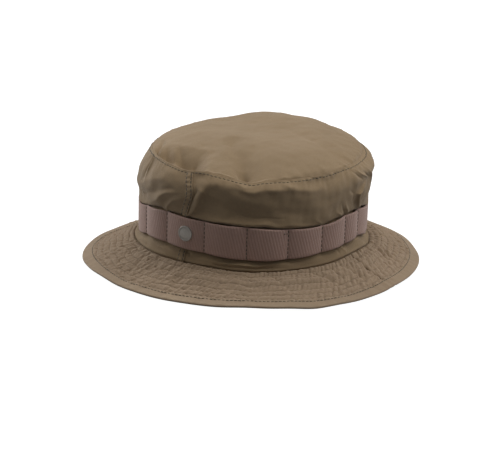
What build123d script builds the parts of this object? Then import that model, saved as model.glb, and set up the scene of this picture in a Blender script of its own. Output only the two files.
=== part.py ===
from build123d import *
import os
from math import cos, sin, radians

os.makedirs("parts", exist_ok=True)

# Boonie hat, in millimetres. +Z is up, the front of the hat faces -Y and the wearer's
# left is +X. The origin is under the middle of the hat, on the plane the brim edge rests on.
#
# A head is longer than it is wide, so every round piece is drawn as a circle, at its
# side-to-side size, and then stretched front to back by OVAL.

# ---- driving dimensions ----
OVAL = 1.06                 # front-to-back size over side-to-side size
EDGE_R = 133.4              # brim edge, outside of the binding
SEAM_R = 93.0               # where the brim meets the crown
SEAM_Z = 17.5               # height of the brim's upper face there
BAND_R = 89.8               # crown side behind the loop webbing, which is upright
BAND_LOW = 27.0
WEB_H = 25.0                # 1 inch webbing
BULGE_R = 92.4              # fullest part of the crown side
BULGE_Z = 69.0
TOP_R = 84.0                # crown top seam
TOP_Z = 89.0
APEX_Z = 103.0              # highest point of the crown top

CLOTH = 0.8                 # crown cloth with its seam allowances pressed flat
BRIM_CLOTH = 0.5
INTERLINING = 0.8
BINDING = 0.5
TAPE = 0.5
SWEATBAND = 1.3
WEBBING = 1.2
THREAD = 0.4
GAP = 0.05                  # air between two layers that lie on each other

BIND_W = 9.0                # width of the binding's two flanges
FOOT_W = 0.8                # flat ring under the binding, where the hat rests
SWEAT_TOP = 50.0
SWEAT_RISE = 0.5            # its lower edge stops this far above the crown side's
TAPE_W = 10.0
LOOPS = 19
LOOP_RISE = 1.6             # how far a loop stands off between its two tacks
FRONT_LOOP = -87.2          # direction of the front loop's middle, in degrees from +X
BADGE_R = 6.0
BADGE_T = 1.3               # thickness at the middle of its dome
BADGE_Z = 43.2              # the badge sits a little above the webbing's middle line
GROOVE_T = 0.7              # thickness under the groove between dome and rim, and at the edge
RIM_W = 1.3
RIM_T = 1.1
RIM_BEVEL = 0.4
POST_R = 1.5
WASHER_R = 4.5
WASHER_T = 0.5
WASHER_GAP = 0.35           # the flat washer clears the curved webbing by this much
LABEL_W = 24.0
LABEL_H = 28.0
LABEL_T = 0.6
LABEL_CORNER_R = 1.5

# stitching
ROW_W = 0.4                 # width of one row
ROW_H = 0.6                 # height of a row that runs round an upright face
QUILT_ROWS = 6
QUILT_START = 4.2           # from the crown seam to the first row of quilting
QUILT_STOP = 2.0            # from the last row to the binding
BIND_ROW = 1.3              # from the binding's inner edge to its row
TOP_ROW = 2.0               # from the crown top's seam down to the top of its row
SWEAT_ROW = 2.0             # from the crown side's lower edge up to the sweatband's row
TWIN_NEAR = 1.3             # first row of the felled seam, measured from the seam
TWIN_FAR = 5.3              # second row
TWIN_FOOT = 1.0             # from the brim seam to the lower end of these rows
TWIN_TOP = 2.5              # from their upper end to the crown top's seam
TWIN_GAP = 0.5              # from their other ends to the webbing
BAR_W = 0.6                 # a tack across the webbing
BAR_LIFT = 0.15             # its middle stands this far off, so its two sides clear the curve
BAR_END = 0.5               # from a tack's end to the webbing's edge

ROOM = 400.0                # more than the hat's size, for the boxes that cut it

# ---- derived sizes ----
BAND_HIGH = BAND_LOW + WEB_H
BRIM_IN = SEAM_R + GAP                      # inner edge of the brim's layers
STACK = 2 * BRIM_CLOTH + INTERLINING + 2 * GAP
REST_R = EDGE_R - FOOT_W
REST_Z = STACK + GAP + BINDING              # upper face of the brim above the resting ring
SLOPE = (SEAM_Z - REST_Z) / (REST_R - SEAM_R)
BRIM_R = EDGE_R - BINDING - GAP             # cut edge of the brim cloths
BIND_IN = EDGE_R - BIND_W
FOOT_Z = SEAM_Z - STACK                     # lower edge of the crown side
WEB_IN = BAND_R + GAP
WEB_OUT = WEB_IN + WEBBING
STEP_ANGLE = 360 / LOOPS
LABEL_Y = (BAND_R - CLOTH - GAP - SWEATBAND) * OVAL - 1.5
LABEL_HINGE_Z = SWEAT_TOP - 1.0


def brim_z(radius):
    """Height of the brim's upper face at a radius."""
    return SEAM_Z - (radius - SEAM_R) * SLOPE


def add_round(outline, mode=Mode.ADD):
    """Turn a closed outline of (radius, height) points about the hat's own axis."""
    with BuildSketch(Plane.XZ) as profile:
        with BuildLine():
            Polyline(*outline, close=True)
        make_face()
    revolve(profile.sketch, axis=Axis.Z, mode=mode)


def brim_layer(inner, outer, above, below):
    """Sloping ring between two radii, placed by its faces' heights over the brim's top."""
    add_round([
        (inner, brim_z(inner) + above),
        (outer, brim_z(outer) + above),
        (outer, brim_z(outer) + below),
        (inner, brim_z(inner) + below),
    ])


def fill_crown(inset, mode=Mode.ADD):
    """Solid up to the crown side's outer face, moved inwards by inset."""
    with BuildSketch(Plane.XZ) as profile:
        with BuildLine():
            Polyline(
                (0, TOP_Z),
                (0, FOOT_Z),
                (SEAM_R - inset, FOOT_Z),
                (SEAM_R - inset, SEAM_Z),
                (BAND_R - inset, BAND_LOW),
                (BAND_R - inset, BAND_HIGH),
            )
            ThreePointArc(
                (BAND_R - inset, BAND_HIGH),
                (BULGE_R - inset, BULGE_Z),
                (TOP_R - inset, TOP_Z),
            )
            Line((TOP_R - inset, TOP_Z), (0, TOP_Z))
        make_face()
    revolve(profile.sketch, axis=Axis.Z, mode=mode)


def crown_layer(outer_inset, thickness):
    """Cloth that follows the crown side, stretched to the oval."""
    fill_crown(outer_inset)
    fill_crown(outer_inset + thickness, mode=Mode.SUBTRACT)
    scale(by=(1, OVAL, 1))


def keep_heights(low, high):
    """Keep what lies between two heights."""
    with Locations((0, 0, low)):
        Box(ROOM, ROOM, high - low, align=(Align.CENTER, Align.CENTER, Align.MIN), mode=Mode.INTERSECT)


def add_strip(x_middle, width, side, low, high, mode=Mode.ADD):
    """Upright slab through the front (side -1) or the back (side +1)."""
    with Locations((x_middle, side * ROOM / 2, low)):
        Box(width, ROOM, high - low, align=(Align.CENTER, Align.CENTER, Align.MIN), mode=mode)


def save(piece, name):
    """Label a finished piece and write its STEP file."""
    piece.part.label = name
    export_step(piece.part, f"parts/{name}.step")


# ---- crown ----
with BuildPart() as crown_top:
    rim_z = TOP_Z + GAP
    with BuildSketch(Plane.XZ) as dome:
        with BuildLine():
            upper = TangentArc((0, APEX_Z), (TOP_R, rim_z + CLOTH), tangent=(1, 0))
            Line(upper @ 1, (TOP_R, rim_z))
            lower = TangentArc((0, APEX_Z - CLOTH), (TOP_R, rim_z), tangent=(1, 0))
            Line(lower @ 0, upper @ 0)
        make_face()
    revolve(dome.sketch, axis=Axis.Z)
    scale(by=(1, OVAL, 1))
save(crown_top, "crown_top")

for name, half in (("crown_side_left", Keep.TOP), ("crown_side_right", Keep.BOTTOM)):
    with BuildPart() as crown_side:
        crown_layer(0, CLOTH)
        split(bisect_by=Plane.YZ, keep=half)
    save(crown_side, name)

with BuildPart() as top_seam_tape:
    crown_layer(CLOTH + GAP, TAPE)
    keep_heights(TOP_Z - TAPE_W, TOP_Z - GAP)
save(top_seam_tape, "top_seam_tape")

for name, side in (("front_seam_tape", -1), ("back_seam_tape", 1)):
    with BuildPart() as seam_tape:
        crown_layer(CLOTH + GAP, TAPE)
        add_strip(0, TAPE_W, side, SWEAT_TOP + GAP, TOP_Z - TAPE_W - GAP, mode=Mode.INTERSECT)
    save(seam_tape, name)

# ---- brim: upper cloth, interlining and under cloth, each in a front and a back half ----
layers = (
    ("brim_top", 0, BRIM_CLOTH),
    ("brim_interlining", BRIM_CLOTH + GAP, INTERLINING),
    ("brim_under", BRIM_CLOTH + INTERLINING + 2 * GAP, BRIM_CLOTH),
)
for layer, depth, thickness in layers:
    for end, half in (("front", Keep.TOP), ("back", Keep.BOTTOM)):
        with BuildPart() as brim_half:
            brim_layer(BRIM_IN, BRIM_R, -depth, -depth - thickness)
            scale(by=(1, OVAL, 1))
            split(bisect_by=Plane.XZ, keep=half)
        save(brim_half, f"{layer}_{end}")

with BuildPart() as brim_edge_binding:
    skin = BINDING + GAP
    brim_layer(BIND_IN, EDGE_R, skin, -STACK - skin)
    add_round([
        (BIND_IN - 1, brim_z(BIND_IN - 1) + GAP),
        (BRIM_R + GAP, brim_z(BRIM_R + GAP) + GAP),
        (BRIM_R + GAP, brim_z(BRIM_R + GAP) - STACK - GAP),
        (BIND_IN - 1, brim_z(BIND_IN - 1) - STACK - GAP),
    ], mode=Mode.SUBTRACT)
    scale(by=(1, OVAL, 1))
    keep_heights(0, SEAM_Z)
save(brim_edge_binding, "brim_edge_binding")

# ---- sweatband and care label ----
with BuildPart() as sweatband:
    crown_layer(CLOTH + GAP, SWEATBAND)
    keep_heights(FOOT_Z + SWEAT_RISE, SWEAT_TOP)
save(sweatband, "sweatband")

with BuildPart() as care_label:
    with Locations((0, LABEL_Y, LABEL_HINGE_Z)):
        Box(LABEL_W, LABEL_T, LABEL_H, align=(Align.CENTER, Align.CENTER, Align.MAX))
    fillet(care_label.edges().filter_by(Axis.Y).group_by(Axis.Z)[0], radius=LABEL_CORNER_R)
save(care_label, "care_label")


# ---- loop webbing ----
def tack_angle(index):
    """Direction of a tack. Tack 0 is the one on the wearer's left of the badge."""
    return radians(FRONT_LOOP + (index + 0.5) * STEP_ANGLE)


def outward(direction):
    """Which way the oval faces, away from the hat, at a direction on its circle."""
    return Vector(OVAL * cos(direction), sin(direction), 0).normalized()


def on_oval(radius, direction, height):
    """Point at a circle's radius and direction, after the stretch to the oval."""
    return Vector(radius * cos(direction), OVAL * radius * sin(direction), height)


def scalloped_ring(radius, rise):
    """Closed line that touches a radius at each tack and stands out between tacks."""
    for index in range(LOOPS):
        start = tack_angle(index)
        middle = tack_angle(index + 0.5)
        end = tack_angle(index + 1)
        ThreePointArc(
            (radius * cos(start), radius * sin(start)),
            ((radius + rise) * cos(middle), (radius + rise) * sin(middle)),
            (radius * cos(end), radius * sin(end)),
        )


# The badge's own plane lies on the front loop's outer face; its z points away from the hat.
badge_direction = radians(FRONT_LOOP)
badge_out = outward(badge_direction)
badge_spot = on_oval(WEB_OUT + LOOP_RISE, badge_direction, BADGE_Z)
badge_plane = Plane(origin=badge_spot, x_dir=(0, 0, 1), z_dir=badge_out)
washer_top = -WEBBING * OVAL - WASHER_GAP

with BuildPart() as loop_webbing:
    with BuildSketch(Plane.XY.offset(BAND_LOW)):
        with BuildLine():
            scalloped_ring(WEB_OUT, LOOP_RISE)
        make_face()
        with BuildLine():
            scalloped_ring(WEB_IN, LOOP_RISE)
        make_face(mode=Mode.SUBTRACT)
    extrude(amount=WEB_H)
    scale(by=(1, OVAL, 1))
    with Locations(badge_plane):
        Cylinder(POST_R + GAP, 4 * WEBBING, mode=Mode.SUBTRACT)
save(loop_webbing, "loop_webbing")

with BuildPart() as webbing_tack_thread:
    for index in range(LOOPS):
        direction = tack_angle(index)
        spot = on_oval(WEB_OUT + BAR_LIFT, direction, BAND_LOW + BAR_END)
        with Locations(Plane(origin=spot, x_dir=outward(direction), z_dir=(0, 0, 1))):
            Box(THREAD, BAR_W, WEB_H - 2 * BAR_END, align=(Align.MIN, Align.CENTER, Align.MIN))
save(webbing_tack_thread, "webbing_tack_thread")

# ---- badge: a domed and rimmed cap with a post through the front loop, and a washer behind ----
with BuildPart() as badge_cap:
    profile_plane = Plane(origin=badge_spot, x_dir=(0, 0, 1), z_dir=badge_out.cross(Vector(0, 0, -1)))
    rim_in = BADGE_R - RIM_W
    with BuildSketch(profile_plane) as cap_profile:
        with BuildLine():
            Polyline(
                (0, GAP + BADGE_T),
                (0, washer_top - WASHER_T),
                (POST_R, washer_top - WASHER_T),
                (POST_R, GAP),
                (BADGE_R, GAP),
                (BADGE_R, GAP + GROOVE_T),
                (BADGE_R - RIM_BEVEL, GAP + RIM_T),
                (rim_in + RIM_BEVEL, GAP + RIM_T),
                (rim_in, GAP + GROOVE_T),
            )
            TangentArc((0, GAP + BADGE_T), (rim_in, GAP + GROOVE_T), tangent=(1, 0))
        make_face()
    revolve(cap_profile.sketch, axis=Axis(badge_spot, badge_out))
save(badge_cap, "badge_cap")

with BuildPart() as badge_washer:
    with Locations(badge_plane.offset(washer_top)):
        Cylinder(WASHER_R, WASHER_T, align=(Align.CENTER, Align.CENTER, Align.MAX))
        Cylinder(POST_R + GAP, WASHER_T, align=(Align.CENTER, Align.CENTER, Align.MAX), mode=Mode.SUBTRACT)
save(badge_washer, "badge_washer")

# ---- stitching ----
quilt_first = SEAM_R + QUILT_START
quilt_last = BIND_IN - QUILT_STOP
with BuildPart() as brim_quilting_thread:
    for row in range(QUILT_ROWS):
        radius = quilt_first + (quilt_last - quilt_first) * row / (QUILT_ROWS - 1)
        brim_layer(radius, radius + ROW_W, GAP + THREAD, GAP)
        brim_layer(radius, radius + ROW_W, -STACK - GAP, -STACK - GAP - THREAD)
    scale(by=(1, OVAL, 1))
save(brim_quilting_thread, "brim_quilting_thread")

with BuildPart() as binding_thread:
    radius = BIND_IN + BIND_ROW
    face = BINDING + 2 * GAP
    brim_layer(radius, radius + ROW_W, face + THREAD, face)
    brim_layer(radius, radius + ROW_W, -STACK - face, -STACK - face - THREAD)
    scale(by=(1, OVAL, 1))
save(binding_thread, "binding_thread")

with BuildPart() as crown_top_thread:
    crown_layer(-GAP - THREAD, THREAD)
    keep_heights(TOP_Z - TOP_ROW, TOP_Z - TOP_ROW + ROW_H)
save(crown_top_thread, "crown_top_thread")

with BuildPart() as sweatband_thread:
    crown_layer(CLOTH + SWEATBAND + 2 * GAP, THREAD)
    keep_heights(FOOT_Z + SWEAT_ROW, FOOT_Z + SWEAT_ROW + ROW_H)
save(sweatband_thread, "sweatband_thread")

# The felled seams have two rows each, both on the wearer's right of the seam line.
with BuildPart() as stitch_skin:
    crown_layer(-GAP - THREAD, THREAD)

for name, side in (("front_seam_thread", -1), ("back_seam_thread", 1)):
    with BuildPart() as seam_thread:
        for x in (-TWIN_NEAR, -TWIN_FAR):
            add_strip(x, ROW_W, side, SEAM_Z + TWIN_FOOT, BAND_LOW - TWIN_GAP)
            add_strip(x, ROW_W, side, BAND_HIGH + TWIN_GAP, TOP_Z - TWIN_TOP)
        add(stitch_skin.part, mode=Mode.INTERSECT)
    save(seam_thread, name)
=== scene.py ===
import math

import bpy
import numpy as np
from mathutils import Matrix, Vector


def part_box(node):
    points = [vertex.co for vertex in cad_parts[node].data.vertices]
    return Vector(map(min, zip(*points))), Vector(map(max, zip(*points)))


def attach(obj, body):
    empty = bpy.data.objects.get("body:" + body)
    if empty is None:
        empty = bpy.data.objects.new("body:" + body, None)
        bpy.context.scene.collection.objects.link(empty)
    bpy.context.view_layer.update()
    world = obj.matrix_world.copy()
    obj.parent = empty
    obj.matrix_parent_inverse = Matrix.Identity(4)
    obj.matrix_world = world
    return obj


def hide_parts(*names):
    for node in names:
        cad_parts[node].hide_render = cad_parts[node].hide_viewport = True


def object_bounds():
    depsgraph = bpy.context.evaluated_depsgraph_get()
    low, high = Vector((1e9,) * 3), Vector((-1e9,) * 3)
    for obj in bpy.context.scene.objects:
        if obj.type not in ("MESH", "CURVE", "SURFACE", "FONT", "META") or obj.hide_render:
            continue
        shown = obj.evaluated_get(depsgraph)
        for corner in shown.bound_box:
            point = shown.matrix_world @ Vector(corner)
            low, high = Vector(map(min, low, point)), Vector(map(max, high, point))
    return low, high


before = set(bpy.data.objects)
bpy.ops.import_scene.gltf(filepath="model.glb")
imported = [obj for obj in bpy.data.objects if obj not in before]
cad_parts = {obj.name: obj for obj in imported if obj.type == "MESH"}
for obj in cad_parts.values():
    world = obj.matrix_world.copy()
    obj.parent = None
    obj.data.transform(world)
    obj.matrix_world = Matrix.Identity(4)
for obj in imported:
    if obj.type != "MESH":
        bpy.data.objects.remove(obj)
cad_low, cad_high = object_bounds()

# The hat's own numbers are in millimetres, and MM turns them into the scene's metres.
# Directions round the hat are in degrees: 0 is the wearer's left (+X), -90 is the front (-Y).
# As in the CAD model, round pieces are drawn at their side-to-side size and stretched by OVAL.
MM = 0.001


# ---------------------------------------- sizes from the frame
def box_mm(node):
    """Lowest and highest corner of a CAD node, in millimetres."""
    low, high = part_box(node)
    return np.array(low) / MM, np.array(high) / MM


EDGE_R = cad_high.x / MM
OVAL = cad_high.y / cad_high.x
APEX_Z = cad_high.z / MM
TOP_R = box_mm("crown_top")[1][0]
TOP_Z = box_mm("crown_top")[0][2]
SEAM_R = box_mm("crown_side_left")[1][0]
SEAM_Z = box_mm("brim_top_front")[1][2]
FOOT_Z = box_mm("crown_side_left")[0][2]
BAND_LOW = box_mm("loop_webbing")[0][2]
BAND_HIGH = box_mm("loop_webbing")[1][2]
SWEAT_LOW = box_mm("sweatband")[0][2]
SWEAT_TOP = box_mm("sweatband")[1][2]
STACK = SEAM_Z - FOOT_Z          # thickness of the whole brim
EDGE_T = 1.8                     # the same at its bound edge, where the cloths are pressed together
BAND_R = SEAM_R - 3.2            # crown side behind the webbing
BULGE_R = SEAM_R - 0.6           # fullest part of the crown side
WALL_R = 92.0                    # radius at which distances along the crown side are measured
BRIM_R = 112.0                   # the same for the brim
WALL_DEGREE = math.radians(1) * WALL_R
BRIM_DEGREE = math.radians(1) * BRIM_R
BIND_IN = EDGE_R - 9.0           # inner edge of the binding
BIND_Z = 5.6                     # height of the brim there
WEB_T = 1.2
CROWN_T = 0.7
BRIM_T = 0.5
INTERLINING_T = 0.6
TAPE_T = 0.5
TAPE_W = 10
SWEATBAND_T = 1.3
BINDING_T = 0.5
LABEL_T = 0.3
SIDE_SEAM = -2.0                 # direction of the seam between the brim's two halves
SEAM_GAP = 0.22                  # half of that seam's slit, in degrees
FRONT = -90                      # direction of the front seam
BACK = 90                        # direction of the back seam, over the care label
PULLED_IN = -143                 # direction in which the slack crown is pulled in most
LOOPS = 19
END_TACK = 3                     # tack at which the webbing ends

# Sizes of the loops in degrees, from the big one that carries the badge towards the wearer's
# left. The others share what is left.
FRONT_TACK = -99.5
NEAR_LOOPS = [21.7, 20.3, 19.3, 17.7, 15.4, 12.4]
FAR_LOOP = (360 - sum(NEAR_LOOPS)) / (LOOPS - len(NEAR_LOOPS))
LOOP_SIZES = NEAR_LOOPS + [FAR_LOOP] * (LOOPS - len(NEAR_LOOPS))
TACKS = FRONT_TACK + np.concatenate([[0], np.cumsum(LOOP_SIZES)])


# ---------------------------------------- small maths
def smooth(t):
    """0 to 1 with flat ends."""
    t = np.clip(t, 0, 1)
    return t * t * (3 - 2 * t)


def away_from(theta, centre):
    """Signed angle from one direction to another."""
    return (theta - centre + 180) % 360 - 180


def bump(theta, centre, width):
    """1 in one direction round the hat, fading over width degrees on both sides."""
    return np.exp(-((away_from(theta, centre) / width) ** 2))


def hill(x, centre, width):
    """1 at one value, fading over width on both sides."""
    return np.exp(-(((x - centre) / width) ** 2))


def between(x, low, high, soft):
    """1 between two values, fading over soft outside them."""
    return smooth((x - low) / soft + 1) * smooth((high - x) / soft + 1)


def curve(t, step, first, first_slope, last, last_slope):
    """Smooth curve between two values a step apart, at a share t of the way."""
    start = (1 + 2 * t) * (1 - t) ** 2 * first + t * (1 - t) ** 2 * step * first_slope
    return start + t * t * (3 - 2 * t) * last + t * t * (t - 1) * step * last_slope


def around(theta, places):
    """Smooth closed curve through a few (direction, value) places round the hat."""
    at, value = np.array(places, float).T
    before, after = np.roll(at, 1), np.roll(at, -1)
    before[0] -= 360
    after[-1] += 360
    slope = (np.roll(value, -1) - np.roll(value, 1)) / (after - before)
    turned = at[0] + (np.asarray(theta, float) - at[0]) % 360
    k = np.clip(np.searchsorted(at, turned, side="right") - 1, 0, len(at) - 1)
    step = after[k] - at[k]
    n = (k + 1) % len(at)
    return curve((turned - at[k]) / step, step, value[k], slope[k], value[n], slope[n])


def wander(points, wavelength, seed, count=14):
    """Smooth random relief of about unit size over an array of points."""
    draw = np.random.default_rng(seed)
    total = 0
    for _ in range(count):
        direction = draw.normal(size=3)
        direction /= np.linalg.norm(direction)
        length = wavelength * draw.uniform(0.7, 1.5)
        total += np.sin(points @ direction * (math.tau / length) + draw.uniform(0, math.tau))
    return total / math.sqrt(count / 2)


def fold(u, v, sharp, path):
    """A ridge, or where its height is negative a hollow, along a line in a cloth's own plane.

    The path is (u, v, height, width) points. Its right-hand side is steeper by the factor sharp.
    """
    total, nearest = 0, np.inf
    for (u0, v0, height0, width0), (u1, v1, height1, width1) in zip(path, path[1:]):
        du, dv = u1 - u0, v1 - v0
        share = np.clip(((u - u0) * du + (v - v0) * dv) / (du * du + dv * dv), 0, 1)
        away = (u - u0 - share * du) ** 2 + (v - v0 - share * dv) ** 2
        right_side = du * (v - v0) < dv * (u - u0)
        width = (width0 + share * (width1 - width0)) * np.where(right_side, sharp, 1)
        height = (height0 + share * (height1 - height0)) / (1 + away / width**2) ** 1.5
        total = np.where(away < nearest, height, total)
        nearest = np.minimum(away, nearest)
    return total


def along(path, degree):
    """A fold's path with its directions as distances round the hat, from the length of a degree."""
    return [(away_from(place, BACK) * degree, *rest) for place, *rest in path]


def on_oval(theta, radius, z, oval=OVAL):
    """Points at a radius round the hat, stretched front to back."""
    angle = np.radians(theta)
    return np.stack([radius * np.cos(angle), oval * radius * np.sin(angle), z + 0 * theta], -1)


def on_circle(theta, radius, z):
    """The same on a plain circle, for relief that closes on itself round the hat."""
    return on_oval(theta, radius, z, 1)


def outward(theta):
    """Level unit vectors out of the hat."""
    angle = np.radians(theta)
    direction = np.stack([OVAL * np.cos(angle), np.sin(angle), 0 * angle], -1)
    return direction / np.linalg.norm(direction, axis=-1, keepdims=True)


# ---------------------------------------- lines round a worn, slack hat
# Each list says how far a line is above its CAD height, by direction.
SEAM_LIFT = [(-180, 0), (-150, 1), (-133, 2), (-110, 2.2), (-90, 2.6), (-77, 2.3), (-62, 0.6),
             (-40, 0.4), (-22, 1), (-12, 1.5), (0, 3), (10, 2.4), (25, -0.2), (90, 0), (140, 0.5)]
WEB_LOW_LIFT = [(-180, -1), (-160, -3), (-141, -3), (-126, 1), (-112, 4.3), (-98, 4.7), (-78, 3),
                (-57, 0), (-38, 0), (-21, 1.6), (-4, 3.3), (8, 4.4), (20, 0.5), (31, -2.5), (60, -1),
                (110, 0.5)]
WEB_HIGH_LIFT = [(-180, -1), (-160, -3), (-141, -3), (-126, -1.2), (-115, 1.8), (-98, 3.9), (-78, 2.2),
                 (-57, 0.4), (-38, -1.8), (-20, -2.2), (-5, 0.9), (8, 0.9), (20, -1.5), (31, -3),
                 (60, -1), (110, 0.5)]
TOP_LIFT = [(-180, 1.4), (-158, 0.4), (-132, 2.6), (-117, 2.9), (-102, 1.6), (-91, 0.3), (-82, 1.7),
            (-72, 0.3), (-62, -2.5), (-56, -4.0), (-50, -2.6), (-37, -2.2), (-20, -1.9), (5, -0.3),
            (25, 0.3), (45, 1.8), (70, 4.6), (95, 7.3), (120, 7.8), (145, 5.6), (165, 3.3)]
EDGE_LIFT = [(-180, 0), (-165, 0), (-150, 0.2), (-136, 1.0), (-122, 3.4), (-108, 5.2), (-92, 3.6),
             (-75, 3.6), (-50, 3.8), (-33, 1.2), (-12, 1.0), (3, 1.6), (18, 1.5), (33, 0), (50, 0),
             (66, 0), (90, 0), (120, 1)]
BIND_LIFT = [(-180, -3.6), (-160, -2), (-140, 1), (-118, 2.1), (-94, 1), (-64, 1.4), (-43, 0.7),
             (-24, -1.9), (-4, 0.1), (19, 0.9), (48, 0.4), (75, -0.9), (120, 0.5), (155, -2.4)]


def seam_theta(middle, height):
    """Direction of the front or back seam at a height. The front one leans a little."""
    lean = 2.3 + 3.9 * hill(height, 72, 13)
    return middle + (lean if middle == FRONT else 0 * lean)


# ---------------------------------------- crown side
PROFILE = [
    (FOOT_Z, SEAM_R + 0.1),
    (FOOT_Z + 0.6, SEAM_R),
    (SEAM_Z - 0.5, SEAM_R - 1.1),
    (SEAM_Z + 1, SEAM_R - 0.4),
    (SEAM_Z + 3, SEAM_R - 0.7),
    (BAND_LOW, BAND_R - 0.8),
    (BAND_HIGH - 3, BAND_R),
    (BAND_HIGH + 3, BAND_R + 1.2),
    ((BAND_HIGH + TOP_Z) / 2 - 1, BULGE_R),
    (TOP_Z - 9, BULGE_R - 2.2),
    (TOP_Z - 3.5, TOP_R + 2.6),
    (TOP_Z, TOP_R),
]


def profile_radius(height):
    """Radius of the crown side, smoothly through the heights in PROFILE."""
    z, r = np.array(PROFILE).T
    slope = np.gradient(r, z)
    k = np.clip(np.searchsorted(z, height) - 1, 0, len(z) - 2)
    step = z[k + 1] - z[k]
    t = np.clip((height - z[k]) / step, 0, 1)
    return curve(t, step, r[k], slope[k], r[k + 1], slope[k + 1])


def near_label(theta):
    """1 behind the care label and 0 away from it."""
    return smooth((22 - np.abs(away_from(theta, BACK))) / 10)


def squeeze(theta, height):
    """How the soft crown leaves its drawn oval: pulled in at two corners, fuller over one of them."""
    band = smooth((height - SEAM_Z) / 8) * smooth((BAND_HIGH + 16 - height) / 12)
    pulled = -2.8 * bump(theta, PULLED_IN, 30) - 2.2 * bump(theta, 33, 28)
    upper = -3.8 * bump(theta, PULLED_IN, 30) * smooth((height - BAND_HIGH - 8) / 24)
    pulled = band * pulled + 1.4 * near_label(theta) * hill(height, 35, 9)
    fuller = 5.0 * bump(theta, 31, 24) * hill(height, 83, 7) * smooth((TOP_Z - height) / 3)
    return pulled + upper + fuller


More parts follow.
